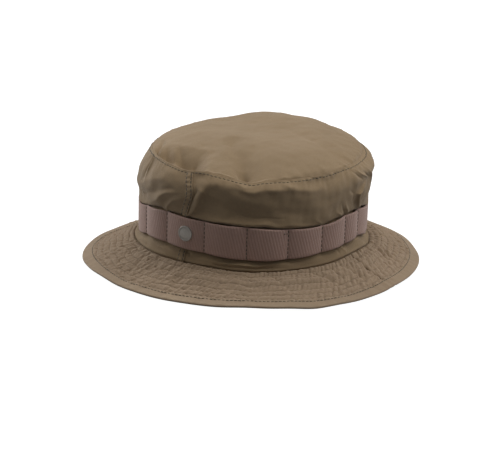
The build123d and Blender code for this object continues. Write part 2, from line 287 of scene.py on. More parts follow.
# Folds of the crown side. Each has the steepness of its right-hand side and a path of
# (direction, height, how far it stands out, width).
WALL_FOLDS = [
    # roll of slack cloth over the webbing at the front, with a crease above it
    (1, [(-84, 54, 0.4, 2.6), (-72, 54.8, 1.9, 3), (-50, 55, 2.3, 3.2), (-38, 54.6, 1.7, 3),
         (-24, 54, 0.5, 2.6)]),
    (1, [(-64, 60.4, -0.1, 1.3), (-52, 60.1, -0.5, 1.3), (-40, 60.2, -0.2, 1.3)]),
    # cloth that hangs out from the dip of the top seam, over a wide smooth hollow
    (1, [(-82, 82, 0.6, 4), (-72, 83.8, 2.6, 4.6), (-50, 83.8, 3.2, 4.6), (-34, 83, 2.6, 4.6),
         (-20, 80, 0.6, 4)]),
    (1, [(-66, 87, 0.2, 1.5), (-60, 86, 1.5, 1.8), (-54, 87, 0.2, 1.5)]),
    (1, [(-42, 86.5, 0.2, 1.5), (-38, 85, 1.3, 1.8), (-34, 84.5, 0.2, 1.5)]),
    (1, [(-77, 66, -1.6, 9), (-55, 65, -2.8, 10), (-33, 65, -1.4, 9)]),
    # beside the felled front seam: a pocket, then a ridge that runs down to the webbing
    (1, [(-84, 80, -0.4, 1.3), (-82.4, 74, -1.0, 1.6), (-83.6, 67, -0.8, 1.4), (-86.4, 60, -0.2, 1.3)]),
    (0.35, [(-87.5, 53, 0.8, 3.4), (-84.2, 58, 1.8, 5), (-80.6, 66, 3.0, 7), (-78.6, 76, 2.8, 7),
            (-77, 83, 0.4, 5)]),
    # wearer's right of that seam: folds that climb from the webbing's tack
    (1, [(-100.3, 52, 0.8, 1.1), (-99, 57, 0.9, 1.5), (-95.5, 62.5, 0.6, 1.9), (-91, 65.5, 0.2, 1.9)]),
    (1, [(-104, 54, -0.4, 2.0), (-100.5, 60, -0.5, 2.4), (-95.5, 65.5, -0.3, 2.4)]),
    (0.7, [(-116, 55, 0.4, 4), (-107, 60, 0.9, 3.6), (-98.5, 68, 0.8, 3), (-92, 71, 0.2, 3)]),
    (1, [(-124, 60, -0.8, 3.6), (-112, 64, -1.5, 3.4), (-103, 68.5, -0.9, 3.4), (-96, 73, -0.5, 3.2)]),
    (1, [(-132, 64, 0.3, 3.4), (-122, 69, 0.7, 4), (-111, 75, 0.7, 4), (-100, 79.5, 0.2, 4)]),
    # wearer's right front: a sharp ridge that comes down over the top seam
    (1, [(-124, 88.6, -0.6, 1.1), (-122.6, 81, -1.2, 1.3), (-123, 73, -0.3, 1.5)]),
    (1, [(-120.6, 88.6, 0.9, 1.3), (-119.6, 80, 1.1, 1.5), (-120, 73, 0.3, 1.8)]),
    # wearer's left: a curved ridge over the webbing, with a pocket on each side
    (0.7, [(11, 73.5, 0.6, 2), (6.5, 71, 2.0, 2.2), (3.2, 66.5, 2.9, 2.4), (3.6, 61, 2.7, 2.4),
           (6.5, 55.5, 2.0, 2.2), (10, 52.5, 1.0, 2)]),
    (1, [(-3, 73, -0.2, 1.6), (0.2, 68.5, -0.6, 1.6), (-0.2, 62, -0.4, 1.6), (2.2, 56, -0.2, 1.6)]),
    (1, [(13, 70, 0.3, 4), (13, 63, 0.9, 4), (15, 57.5, 0.3, 4)]),
    # creases that hang from the gathered top seam there
    (1, [(1.5, 85, -0.3, 1.3), (4.4, 80.5, -1.3, 1.5), (7, 77.5, -0.4, 1.3)]),
    (1, [(4.2, 86, 0.3, 1.3), (7, 81.8, 1.3, 1.3), (10, 79.3, 1.0, 1.3), (13.5, 77, 0.3, 1.3)]),
    (1, [(9.5, 83, -0.4, 1.3), (12.4, 79.6, -1.2, 1.3), (15.5, 77, -0.3, 1.3)]),
    (1, [(13.5, 85, 0.4, 1.6), (17.2, 79, 1.2, 1.8), (19, 72, 0.9, 2.2), (18, 63, 0.4, 2.2)]),
    # short upright folds over the webbing's tacks
    (1, [(-8.2, 63, -0.2, 1.2), (-6.2, 57, -1.0, 1.1), (-5.5, 53, -0.6, 1.1)]),
    (1, [(-5.6, 63, 0.2, 1.3), (-4.2, 57, 1.2, 1.2), (-3.6, 53, 0.8, 1.2)]),
    (1, [(-12, 59, 0.2, 1.4), (-9, 55.5, 0.9, 1.3), (-7.7, 52.6, 0.5, 1.3)]),
    (1, [(-24, 58, 0.2, 1.6), (-21, 54.5, 0.7, 1.5), (-19, 52.6, 0.4, 1.3)]),
    # openings behind the top edge of the webbing
    (1, [(-109, 52.8, -1.2, 1.3), (-104.5, 52.8, -1.6, 1.3)]),
    (1, [(-77, 52.4, -0.6, 1.0), (-69, 52.6, -0.9, 1.0)]),
    (1, [(-50, 52.4, -0.9, 1.0), (-39, 52.4, -0.9, 1.0)]),
    (1, [(-16, 52.4, -1.2, 1.1), (-10.5, 52.4, -1.2, 1.1)]),
    (1, [(10, 52.6, -1.4, 1.4), (19, 53, -1.8, 1.6)]),
    # slack over the webbing at the wearer's left and at the back
    (1, [(24, 58, 0.2, 3), (44, 57, 1.3, 3.5), (80, 58, 1.2, 3.5), (120, 57, 0.4, 3.5)]),
    (1, [(142, 57, 0.3, 3), (165, 58.5, 1.3, 3.5), (190, 57, 0.5, 3.5)]),
    (1, [(104, 82, 0.3, 3), (110, 72, 1.2, 3.5), (118, 62, 0.4, 3)]),
    (1, [(62, 84, 0.3, 3), (66, 73, -1.1, 3.5), (60, 62, -0.3, 3)]),
    # strip between the webbing and the brim
    (1, [(-77, 22, 0.2, 1.3), (-66, 23.4, 1.0, 1.3), (-58, 22.4, 0.9, 1.3), (-50, 23.4, 1.0, 1.3),
         (-38, 22.8, 0.3, 1.3)]),
    (1, [(-72, 20.6, -0.4, 1), (-58, 20.2, -0.7, 1), (-46, 20.6, -0.4, 1)]),
    (1, [(-89, 25, -0.6, 1.2), (-85, 23.5, -1.0, 1.2)]),
    (1, [(-114, 26, 0.3, 1.8), (-105, 23.5, 1.0, 1.6), (-95, 21.5, 0.3, 1.6)]),
    (1, [(-128, 24.5, 0.9, 2), (-117, 21, 0.5, 2)]),
    (1, [(-11, 26, -1.1, 1.2), (-9, 22.5, -0.5, 1.2)]),
    (1, [(-8, 26.5, 1.0, 1.4), (-4, 21.5, 0.5, 1.4)]),
    (1, [(4, 26, 0.8, 1.8), (14, 21.5, 0.4, 1.8)]),
]


def tack_pull(theta):
    """1 at each tack of the webbing, fading over a few millimetres."""
    return sum(bump(theta, tack, 1.3) for tack in TACKS[:-1])


def wall_relief(theta, height):
    """How far the crown side stands out of its smooth shape, with every fold it has."""
    spot = on_circle(theta, WALL_R, height)
    u = away_from(theta, BACK) * WALL_DEGREE + 0.5 * wander(spot, 18, 7)
    v = height + 0.4 * wander(spot, 16, 8)
    above = smooth((height - BAND_HIGH) / 8) * smooth((TOP_Z - height) / 5)
    relief = above * (0.7 * wander(spot, 62, 1) + 0.3 * wander(spot, 24, 2) + 0.12 * wander(spot, 9, 3))
    folds = 0
    for sharp, path in WALL_FOLDS:
        folds += fold(u, v, sharp, along(path, WALL_DEGREE))
    relief += folds * smooth((TOP_Z - height) / 2.5)
    # small gathers hang from the top seam
    below = TOP_Z - height
    hang = np.exp(-below / 4.0) * smooth(below / 1.5)
    gathers = wander(on_circle(theta, WALL_R, 0.5 * height), 5.0, 4)
    relief += gathers * hang * (0.16 + 0.42 * bump(theta, -8, 42) + 0.2 * bump(theta, 150, 60))
    low = smooth((height - SEAM_Z - 0.5) / 2.5) * smooth((BAND_LOW + 2 - height) / 2)
    relief += low * 0.35 * wander(on_circle(theta, WALL_R, 2 * height), 26, 5)
    relief -= 0.5 * tack_pull(theta) * between(height, BAND_LOW - 1, BAND_HIGH + 1, 3)
    # the webbing's edges stand away from the cloth, except at the tacks
    slots = hill(height, BAND_LOW + 0.1, 1.1) + 0.8 * hill(height, BAND_HIGH - 0.2, 1.1)
    behind = between(height, BAND_LOW + 0.8, BAND_HIGH - 0.8, 1)
    hidden = behind + 1.8 * (1 - tack_pull(theta)) * slots
    return relief * (1 - behind) - hidden * (1 - near_label(theta))


def droop(theta):
    """How far the slack cloth hangs down over the top of the webbing."""
    return 0.3 + 6.5 * bump(theta, -146, 17) + 5.5 * bump(theta, 34, 15) + 3.0 * bump(theta, 120, 30)


def wall_at(theta, height, out=0.0):
    """Points on the crown side's outer face at nominal, CAD heights, moved outwards by out."""
    low = around(theta, SEAM_LIFT)
    web_low, web_high = around(theta, WEB_LOW_LIFT), around(theta, WEB_HIGH_LIFT)
    top = around(theta, TOP_LIFT)
    lift = low + (web_low - low) * smooth((height - SEAM_Z) / (BAND_LOW - SEAM_Z))
    lift += (web_high - web_low) * smooth((height - BAND_LOW) / (BAND_HIGH - BAND_LOW))
    lift += (top - web_high) * smooth((height - BAND_HIGH) / (TOP_Z - BAND_HIGH))
    hang = droop(theta)
    lift -= hang * hill(height, BAND_HIGH + 3.2, 3.0)
    over = 0.22 * hang * hill(height, BAND_HIGH + 3.5, 4.0)
    radius = profile_radius(height) + squeeze(theta, height) + wall_relief(theta, height) + over + out
    return on_oval(theta, radius, height + lift)


# ---------------------------------------- crown top
# Folds of the crown top, as for the crown side: the paths are (x, y, height, width).
TOP_FOLDS = [
    # wide hollow at the wearer's right front: steep at its far side, and crossed by creases
    (2.5, [(-50, -71, -2.0, 6), (-28, -76, -6.2, 7), (-7, -76, -9.0, 7), (4, -85, -9.0, 5.5),
           (11, -96, -7.0, 5)]),
    (1, [(-60, -52, 0.3, 8), (-30, -59, 1.2, 6), (-4, -59, 1.4, 6), (8, -73, 1.2, 6),
         (15, -87, 0.6, 6)]),
    (1, [(-9, -74, 0.8, 3), (-5, -86, 1.4, 2.4)]),
    (2.0, [(-9, -88, -3.2, 3), (-14, -79, -3.6, 3), (-22, -68, -2.8, 3), (-29, -60, -0.6, 3)]),
    (1, [(-33, -64, 0.8, 3), (-25, -74, 1.6, 3), (-17, -85, 1.2, 2.6)]),
    (2.0, [(-26, -83, -2.0, 2.2), (-32, -74, -2.6, 2.4), (-38, -65, -0.8, 2.2)]),
    (0.7, [(-40, -74, -2.0, 2.4), (-45, -66, -3.6, 2.8), (-51, -55, -3.8, 3.2), (-58, -44, -1.0, 3)]),
    (1, [(-48, -57, 1.0, 2), (-43, -66, 1.8, 1.8), (-39, -73, 1.2, 1.8)]),
    # long valley that runs to the dip of the seam
    (1, [(43, -82, -4.0, 5.5), (36.5, -70, -9.0, 5.5), (30, -62, -5.4, 8), (19, -51, -3.8, 9),
         (5, -37, -3.8, 7), (-3, -24, -0.4, 8)]),
    # shallow folds towards the wearer's left and back
    (1, [(3, 47, 0.2, 6), (40, 30, 0.9, 6), (75, 13, 0.4, 6)]),
    (1, [(9, 29, -0.2, 5), (42, 15, -0.9, 5), (74, 0, -0.4, 5)]),
    (1, [(12, 63, -0.3, 6), (36, 56, -0.9, 6), (60, 46, -0.3, 6)]),
    (1, [(-62, 16, 0.3, 8), (-46, 42, 1.0, 8), (-30, 66, 0.3, 8)]),
]


def top_radius(theta):
    """Radius of the crown top seam, which is pulled in at the wearer's right front."""
    return TOP_R - 4.2 * bump(theta, PULLED_IN, 30)


def top_at(radius, theta, up=0.0):
    """Points on the crown top's upper face. radius is from 0 in the middle to 1 at the seam."""
    flat = on_oval(theta, top_radius(theta) * radius, 0)
    x, y = flat[..., 0], flat[..., 1]
    relief = 0.6 * wander(flat, 70, 21) + 0.25 * wander(flat, 26, 22) + 0.08 * wander(flat, 10, 23)
    u, v = x + 0.6 * wander(flat, 20, 25), y + 0.6 * wander(flat, 20, 26)
    for sharp, path in TOP_FOLDS:
        relief += fold(u, v, sharp, path)
    to_back = smooth((y / TOP_R + 1) / 2)
    dome = (APEX_Z - TOP_Z - 1.5) * (1 - radius ** (2.6 + 2.0 * to_back))
    rim = around(theta, TOP_LIFT) * radius ** (1.6 + to_back)
    from_seam = (1 - radius) * TOP_R
    gather = wander(on_circle(theta, WALL_R, 20 * radius), 7.0, 24)
    gather = gather * np.exp(-from_seam / 4.0) * (0.18 + 0.30 * bump(theta, -15, 45))
    rolled = -1.1 * np.exp(-((from_seam / 0.9) ** 2))
    fade = smooth(from_seam / 3.5)
    z = TOP_Z + 0.3 + dome + rim + relief * fade + gather * smooth(from_seam) + rolled + up
    return on_oval(theta, top_radius(theta) * radius + 0.4 * smooth(radius), z)


# ---------------------------------------- brim
QUILT_ROWS = 6
QUILT_FIRST = SEAM_R + 4.2
QUILT_LAST = BIND_IN - 2.0
QUILT_PITCH = (QUILT_LAST - QUILT_FIRST) / (QUILT_ROWS - 1)

# Folds of the brim, as for the crown side: the paths are (direction, radius, height, width).
BRIM_FOLDS = [
    # hump beside the front, with a light ridge where it falls away
    (0.5, [(-92, 96, 0.4, 7), (-88, 106, 1.8, 8), (-86, 116, 1.4, 7), (-85, 123, 0.3, 5)]),
    (1, [(-76.5, 98, 0.2, 2), (-78, 105, 0.8, 2), (-80, 113, 0.7, 2), (-82, 120, 0.2, 2)]),
    # valley and ridge before the side seam
    (0.5, [(-9.2, 127, -0.3, 1.6), (-8.8, 118, -1.0, 1.8), (-8.4, 110, -1.6, 2),
           (-10.5, 103, -1.3, 2.4), (-12.5, 96, -0.5, 2.4)]),
    (1, [(-6.5, 98, 0.2, 2.4), (-5.6, 106, 0.8, 2.2), (-5.6, 114, 0.8, 2.2), (-6.5, 121, 0.3, 2)]),
    (1, [(-29, 96, -0.5, 1.6), (-25, 102, -1.0, 1.6), (-20.6, 108, -0.9, 1.6), (-19, 114, -0.3, 1.6)]),
    (1, [(-25.5, 97, 0.3, 1.5), (-21.8, 101.5, 0.8, 1.5), (-18.5, 108, 0.4, 1.5)]),
    (1, [(-17.8, 97, -0.4, 1.3), (-17, 103, -0.9, 1.3), (-15.6, 109, -0.3, 1.3)]),
    (1, [(-47.5, 95, -0.4, 2), (-44.5, 101, -1.0, 2), (-42, 108, -0.7, 2), (-39, 114, -0.2, 2)]),
    # behind the side seam
    (1, [(21.5, 96, -0.4, 2.5), (17.6, 104, -1.5, 2.6), (15, 111, -1.3, 2.6), (13, 119, -0.4, 2.6)]),
    (1, [(25, 99, 0.4, 3), (21, 109, 0.9, 3), (19, 120, 0.3, 3)]),
    (1, [(10.5, 96, 0.3, 3), (9.5, 104, 0.7, 3), (8, 114, 0.3, 3)]),
    # wearer's right
    (1, [(-120, 96, -0.2, 3), (-119, 104, -0.9, 3), (-118, 112, -1.0, 3), (-115, 119, -0.3, 3)]),
    (1, [(-126, 103, -0.3, 3), (-124.5, 111, -0.8, 3), (-123, 119, -0.2, 3)]),
    (1, [(-111, 96, -0.4, 2), (-109.5, 104, -0.9, 2), (-108, 112, -0.6, 2), (-105, 120, -0.2, 2)]),
    (1, [(-100.5, 95, -0.5, 2), (-99, 102, -0.7, 2), (-98, 109, -0.2, 2)]),
    (1, [(-91.5, 95, -0.3, 1.6), (-89.5, 100, -0.6, 1.6), (-88.5, 106, -0.2, 1.6)]),
    # back
    (1, [(60, 97, 0.3, 4), (66, 108, 1.0, 4), (70, 120, 0.3, 4)]),
    (1, [(102, 97, 0.3, 4), (98, 108, -0.9, 4), (96, 120, -0.2, 4)]),
    (1, [(140, 97, 0.3, 4), (147, 108, 1.0, 4), (150, 120, 0.3, 4)]),
]


def quilted(radius):
    """1 where the brim is quilted, and 0 beside the crown and under the binding."""
    return between(radius, SEAM_R + 1.5, BIND_IN, 1.5)


def quilt_slip(theta):
    """How far the quilting rows stray from true ovals."""
    return 0.5 * wander(on_circle(theta, BRIM_R, 0), 22, 33)


def quilt_puff(radius, fullness):
    """0 on the quilting rows and 1 between them, the flatter there the smaller fullness is."""
    channel = (radius - QUILT_FIRST) / QUILT_PITCH
    return np.abs(np.sin(math.pi * channel)) ** fullness


def brim_relief(theta, radius):
    """Quilted channels, the puckers that cross them and the turned-down cloth at the seams."""
    u = away_from(theta, BACK) * BRIM_DEGREE
    inside = quilted(radius)
    puff = quilt_puff(radius + quilt_slip(theta), 0.38)
    turned = theta + 0.25 * (radius - BRIM_R)
    cross = wander(on_circle(turned, BRIM_R, 0.5 * radius), 4.0, 31)
    fine = wander(on_circle(turned, BRIM_R, radius), 2.8, 32)
    wave = wander(on_circle(theta, BRIM_R, 0.3 * radius), 36, 34)
    relief = inside * (1.15 * puff - 0.7 + (0.10 + 0.20 * puff) * cross + 0.12 * fine)
    relief += 0.3 * wave * smooth((radius - SEAM_R) / 20)
    for sharp, path in BRIM_FOLDS:
        relief += fold(u, radius, sharp, along(path, BRIM_DEGREE))
    for seam in (SIDE_SEAM, SIDE_SEAM + 180):
        across = np.abs(away_from(theta, seam)) * BRIM_DEGREE
        relief -= 1.8 * np.exp(-((across / 0.7) ** 2)) * between(radius, 0, BIND_IN - 1, 1)
        relief += 0.35 * hill(across, 2.6, 1.4)
    return relief - 1.6 * np.exp(-(radius - SEAM_R + 0.1) / 0.5)


def brim_depth(radius):
    """Thickness of the brim's cloths, pressed together inside the binding."""
    pressed = EDGE_T - 2 * BINDING_T - 0.2
    return STACK + (pressed - STACK) * smooth((radius - BIND_IN) / (EDGE_R - BIND_IN))


def brim_at(theta, radius, up=0.0, under=False):
    """Points on the brim's upper or under face: at each direction a parabola through three rings."""
    inner, middle, outer = SEAM_R, BIND_IN, EDGE_R
    z_inner = SEAM_Z + around(theta, SEAM_LIFT)
    z_middle = BIND_Z + around(theta, BIND_LIFT)
    z_outer = EDGE_T + around(theta, EDGE_LIFT)
    z = z_inner * (radius - middle) * (radius - outer) / ((inner - middle) * (inner - outer))
    z += z_middle * (radius - inner) * (radius - outer) / ((middle - inner) * (middle - outer))
    z += z_outer * (radius - inner) * (radius - middle) / ((outer - inner) * (outer - middle))
    if under:
        up = up - brim_depth(radius)
    # at the wearer's right the edge stands nearer to the crown
    drawn_in = 7.0 * bump(theta, 174, 24) * smooth((radius - inner) / (outer - inner))
    return on_oval(theta, radius - drawn_in, z + brim_relief(theta, radius) + up)


# ---------------------------------------- webbing
def loop_rise(theta):
    """How far the webbing stands off the crown side: 0 at each tack and most between two."""
    turned = TACKS[0] + (np.asarray(theta, float) - TACKS[0]) % 360
    k = np.clip(np.searchsorted(TACKS, turned, side="right") - 1, 0, LOOPS - 1)
    share = (turned - TACKS[k]) / (TACKS[k + 1] - TACKS[k])
    return 2.0 * np.sin(math.pi * share) ** 0.7


def webbing_at(theta, share, out):
    """Points on the webbing, at a share of its width from its lower edge."""
    low = BAND_LOW + around(theta, WEB_LOW_LIFT)
    high = BAND_HIGH + around(theta, WEB_HIGH_LIFT)
    height = BAND_LOW + share * (BAND_HIGH - BAND_LOW)
    radius = BAND_R + 0.1 + squeeze(theta, height) + loop_rise(theta) + out
    return on_oval(theta, radius, low + share * (high - low))


# ---------------------------------------- meshes
def place_in_scene(name, data):
    """New object of a mesh, light or camera."""
    made = bpy.data.objects.new(name, data)
    bpy.context.scene.collection.objects.link(made)
    return made


def new_object(name, vertices, faces, uv=None):
    """Smooth mesh object from millimetre points. uv has one pair for each vertex."""
    mesh = bpy.data.meshes.new(name)
    mesh.from_pydata((vertices * MM).tolist(), [], faces)
    if uv is not None:
        layer = mesh.uv_layers.new(name="UVMap")
        loops = np.zeros(len(mesh.loops), np.int32)
        mesh.loops.foreach_get("vertex_index", loops)
        layer.data.foreach_set("uv", (uv * MM)[loops].astype(np.float32).ravel())
    mesh.polygons.foreach_set("use_smooth", [True] * len(mesh.polygons))
    mesh.update()
    return place_in_scene(name, mesh)


def grid_faces(rows, cols, close_rows, close_cols):
    """Quads between neighbours of a grid of vertices."""
    r = np.arange(rows if close_rows else rows - 1)[:, None]
    c = np.arange(cols if close_cols else cols - 1)[None]
    m, n = (r + 1) % rows, (c + 1) % cols
    return np.stack([r * cols + c, r * cols + n, m * cols + n, m * cols + c], -1).reshape(-1, 4)


def grid_object(name, points, uv, close_rows=False, close_cols=False, flip=False):
    """Object from a grid of points. With flip its faces look the other way."""
    faces = grid_faces(*points.shape[:2], close_rows, close_cols)
    faces = faces[:, ::-1] if flip else faces
    return new_object(name, points.reshape(-1, 3), faces.tolist(), uv.reshape(-1, 2))


def thicken(piece, thickness, offset=-1):
    """Give a sheet its thickness, behind the face that shows, or with offset 0 on both sides."""
    layer = piece.modifiers.new("thickness", "SOLIDIFY")
    layer.thickness = thickness * MM
    layer.offset = offset


def strip_ring(name, section):
    """Closed strip round the hat, from rows of points that go once round its cross-section."""
    grid = np.stack(section)
    lengths = np.cumsum(np.linalg.norm(np.diff(grid[:, 0], axis=0, append=grid[:1, 0]), axis=1))
    uv = np.stack(np.meshgrid(np.radians(ROUND) * WALL_R, lengths), -1)
    return grid_object(name, grid, uv, close_rows=True, close_cols=True)


# A stitch is a rounded grain: shares of its length, with its thickness and its rise there.
GRAIN = np.array([
    (0.0, 0.3, -0.6),
    (0.15, 0.85, 0.3),
    (0.5, 1.0, 0.7),
    (0.85, 0.85, 0.3),
    (1.0, 0.3, -0.6),
])
GRAIN_SIDES = 6


def stitch_row(path, up, length=2.5, gap=0.8, radius=0.2, closed=False):
    """Stitches along a line of points, lying on a cloth that faces up: their rings of points."""
    if closed:
        path, up = np.concatenate([path, path[:1]]), np.concatenate([up, up[:1]])
    where = np.concatenate([[0], np.cumsum(np.linalg.norm(np.diff(path, axis=0), axis=1))])
    count = max(1, round(where[-1] / (length + gap)))
    pitch = where[-1] / count
    at = (np.arange(count)[:, None] + 0.5) * pitch + (GRAIN[:, 0] - 0.5) * length

    def at_stitches(values):
        return np.stack([np.interp(at, where, values[:, k]) for k in range(3)], -1)

    centre, up = at_stitches(path), at_stitches(up)
    tangent = np.gradient(centre, axis=1)
    side = np.cross(tangent, up)
    side /= np.linalg.norm(side, axis=-1, keepdims=True)
    centre += up * (GRAIN[:, 2] * radius)[:, None]
    turn = np.arange(GRAIN_SIDES) * math.tau / GRAIN_SIDES
    ring = side[:, :, None] * np.cos(turn)[:, None] + up[:, :, None] * np.sin(turn)[:, None]
    return centre[:, :, None] + ring * (GRAIN[:, 1] * radius)[:, None, None]


def thread_object(name, rows):
    """One object of many rows of stitches, each stitch a closed grain."""
    rings = np.concatenate(rows)
    count, stations = rings.shape[:2]
    sides = grid_faces(stations, GRAIN_SIDES, False, True)
    first = np.arange(count)[:, None, None] * stations * GRAIN_SIDES
    faces = (sides + first).reshape(-1, 4).tolist()
    end = np.arange(GRAIN_SIDES)
    caps = np.stack([end[::-1], end + (stations - 1) * GRAIN_SIDES])
    faces += (caps + first).reshape(-1, GRAIN_SIDES).tolist()
    return new_object(name, rings.reshape(-1, 3), faces)


# ---------------------------------------- materials
def add_node(tree, kind, operation=None, **inputs):
    """New shader node. An input is a value or the socket of another node. i0 is the first one."""
    made = tree.nodes.new("ShaderNode" + kind)
    if operation:
        made.operation = operation
    for key, value in inputs.items():
        socket = made.inputs[int(key[1:]) if key[1:].isdigit() else key.replace("_", " ")]
        if isinstance(value, bpy.types.NodeSocket):
            tree.links.new(value, socket)
        else:
            socket.default_value = value
    return made.outputs[0]


def calc(tree, operation, a, b=0.0, c=0.0):
    """New maths node."""
    return add_node(tree, "Math", operation, i0=a, i1=b, i2=c)


def stripes(tree, coordinate, pitch, axis):
    """Soft stripes across U (axis 0) or V (axis 1): 0 in the gaps, 1 on the threads."""
    parts = tree.nodes.new("ShaderNodeSeparateXYZ")
    tree.links.new(coordinate, parts.inputs[0])
    wave = calc(tree, "SINE", calc(tree, "MULTIPLY", parts.outputs[axis], math.tau / pitch))
    return calc(tree, "MULTIPLY_ADD", wave, 0.5, 0.5)


def new_material(name, **shader_values):
    """Material with a Principled shader: (material, node tree, shader)."""
    material = bpy.data.materials.new(name)
    material.use_nodes = True
    tree = material.node_tree
    shader = tree.nodes["Principled BSDF"]
    for key, value in shader_values.items():
        shader.inputs[key.replace("_", " ")].default_value = value
    return material, tree, shader


def texture_place(tree, kind, turn=0.0):
    """Texture coordinates of a kind, turned in their plane."""
    where = tree.nodes.new("ShaderNodeTexCoord").outputs[kind]
    return add_node(tree, "Mapping", i0=where, Rotation=(0, 0, turn)) if turn else where


def colour_and_bump(tree, shader, colour, tone, height, strength, depth):
    """Give a shader a colour that a tone scales, and bump from a height."""
    plain = tree.nodes.new("ShaderNodeRGB").outputs[0]
    plain.default_value = (*colour, 1)
    dyed = add_node(tree, "VectorMath", "SCALE", i0=plain, Scale=tone)
    tree.links.new(dyed, shader.inputs["Base Color"])
    raised = add_node(tree, "Bump", Strength=strength, Distance=depth, Height=height)
    tree.links.new(raised, shader.inputs["Normal"])


def fabric(name, colour, weave=(0.00055, 0.00055), check=0.0, mottle=0.10, slant=0.0,
           rough=0.86, sheen=0.12, relief=0.35, gap_shade=0.06):
    """Woven cloth: crossing threads with painted shade in the gaps between them, a faint check, uneven
    dye and a little sheen.

    weave is the pitch of the threads both ways and check that of the faint lines, in metres.
    """
    material, tree, shader = new_material(
        name, Roughness=rough, Sheen_Weight=sheen, Sheen_Roughness=0.5, Specular_IOR_Level=0.25)
    cloth = texture_place(tree, "UV", slant)
    body = texture_place(tree, "Object")
    slub = add_node(tree, "TexNoise", Vector=cloth, Scale=900.0, Detail=2.0)
    across, along_cloth = (stripes(tree, cloth, pitch, axis) for axis, pitch in enumerate(weave))
    threads = calc(tree, "MULTIPLY", across, along_cloth)
    height = calc(tree, "MULTIPLY_ADD", slub, 0.8, threads)
    if check:
        lines = [calc(tree, "POWER", stripes(tree, cloth, check, axis), 14.0) for axis in (0, 1)]
        height = calc(tree, "MULTIPLY_ADD", calc(tree, "MAXIMUM", *lines), 1.2, height)
    dye = add_node(tree, "TexNoise", Vector=body, Scale=28.0, Detail=5.0, Roughness=0.6)
    grain = add_node(tree, "TexNoise", Vector=body, Scale=520.0, Detail=3.0, Roughness=0.8)
    tone = calc(tree, "MULTIPLY_ADD", dye, 1.6 * mottle, 1.0 - 2.0 * mottle - 0.03)
    tone = calc(tree, "MULTIPLY_ADD", grain, 2.4 * mottle, tone)
    # painted shade: the gaps between the threads, and between the webbing's ribs, are coloured darker
    tone = calc(tree, "MULTIPLY_ADD", threads, gap_shade, tone)
    colour_and_bump(tree, shader, colour, tone, height, relief, 0.00025)
    return material


def speckled(name, colour, spread, scale, rough, metallic=0.0):
    """Thread, moulded or plated part whose tone varies by spread in fine grains."""
    material, tree, shader = new_material(name, Roughness=rough, Metallic=metallic)
    body = texture_place(tree, "Object")
    marks = add_node(tree, "TexNoise", Vector=body, Scale=scale, Detail=3.0)
    tone = calc(tree, "MULTIPLY_ADD", marks, 2 * spread, 1 - spread)
    colour_and_bump(tree, shader, colour, tone, marks, 0.3, 0.0001)
    return material


crown_cloth = fabric("crown_cloth", (0.274, 0.192, 0.108))
brim_cloth = fabric("brim_cloth", (0.282, 0.202, 0.130), check=0.0046)
binding_cloth = fabric("binding_cloth", (0.296, 0.215, 0.138))
band_cloth = fabric("sweatband_cloth", (0.20, 0.155, 0.10), weave=(0.0007, 0.0007))
tape_cloth = fabric("seam_tape_cloth", (0.22, 0.17, 0.11), weave=(0.0008, 0.0008),
                    slant=math.radians(45))
lining_cloth = fabric("interlining_cloth", (0.11, 0.085, 0.06))
label_satin = fabric("label_satin", (0.7, 0.69, 0.65), weave=(0.0004, 0.0004), rough=0.45, sheen=0.5)
webbing_cloth = fabric("webbing_ribs", (0.385, 0.244, 0.200), weave=(0.0022, 0.0005),
                       slant=math.radians(14), rough=0.7, sheen=0.2, relief=0.8, gap_shade=0.3)
dark_thread = speckled("dark_olive_thread", (0.055, 0.052, 0.034), 0.3, 2500.0, 0.6)
olive_thread = speckled("olive_thread", (0.10, 0.082, 0.052), 0.3, 2500.0, 0.6)
badge_face = speckled("badge_moulding", (0.25, 0.23, 0.205), 0.12, 900.0, 0.5, metallic=0.3)
plain_steel = speckled("plain_steel", (0.45, 0.44, 0.42), 0.1, 900.0, 0.35, metallic=1.0)


def dress(piece, material, slot, *nodes, body="hat"):
    """Material, slot (not used), body to ride on, and the CAD nodes that the piece stands for."""
    piece.data.materials.append(material)
    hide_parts(*nodes)
    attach(piece, body)
    return piece


# ---------------------------------------- crown
AROUND = 1440
ROUND = np.linspace(-180, 180, AROUND, endpoint=False)
UP_WALL = 200
FELL_W = 6.3                     # width of the felled strip of the front and back seams
FELL_ROWS = (1.3, 5.3)           # distances of its two rows of stitches from the seam
LAP = 0.7                        # degrees by which the left half runs on under that strip

wall_heights = np.concatenate([
    np.linspace(FOOT_Z, BAND_LOW + 2, UP_WALL // 4, endpoint=False),
    np.linspace(BAND_LOW + 2, BAND_HIGH - 2, UP_WALL // 10, endpoint=False),
    np.linspace(BAND_HIGH - 2, TOP_Z - 0.05, UP_WALL * 13 // 20),
])

# shares of a half round of the hat, in finer steps towards its two ends
even_shares = np.linspace(0, 1, AROUND // 2 + 1)
fine_ends = (1 - np.cos(np.linspace(0, math.pi, AROUND // 2 + 1))) / 2
half_shares = 0.75 * even_shares + 0.25 * fine_ends


def crown_side(side):
    """Half of the crown side. The wearer's right half has the felled strips."""
    fell = side == "right"
    height = wall_heights[:, None]
    front = seam_theta(FRONT, height)
    back = seam_theta(BACK, height)
    start = back if fell else front - LAP
    end = front + 360 if fell else back + LAP
    theta = start + (end - start) * half_shares[None]
    height = height + 0 * theta
    points = wall_at(theta, height)
    if fell:
        out = 0
        for across in ((end - theta) * WALL_DEGREE, (theta - start) * WALL_DEGREE):
            strip = smooth((FELL_W - across) / 0.7)
            needle = sum(hill(across, row, 0.4) for row in FELL_ROWS)
            pucker = wander(on_circle(theta, WALL_R, 3 * height), 8, 6)
            out = out + strip * (0.8 + 0.12 * pucker) - 0.45 * needle
        points += out[..., None] * outward(theta)
    piece = grid_object(f"crown_side_{side}_cloth", points, np.stack([theta * WALL_DEGREE, height], -1))
    thicken(piece, CROWN_T)
    dress(piece, crown_cloth, "crown_cloth", f"crown_side_{side}")


crown_side("left")
crown_side("right")

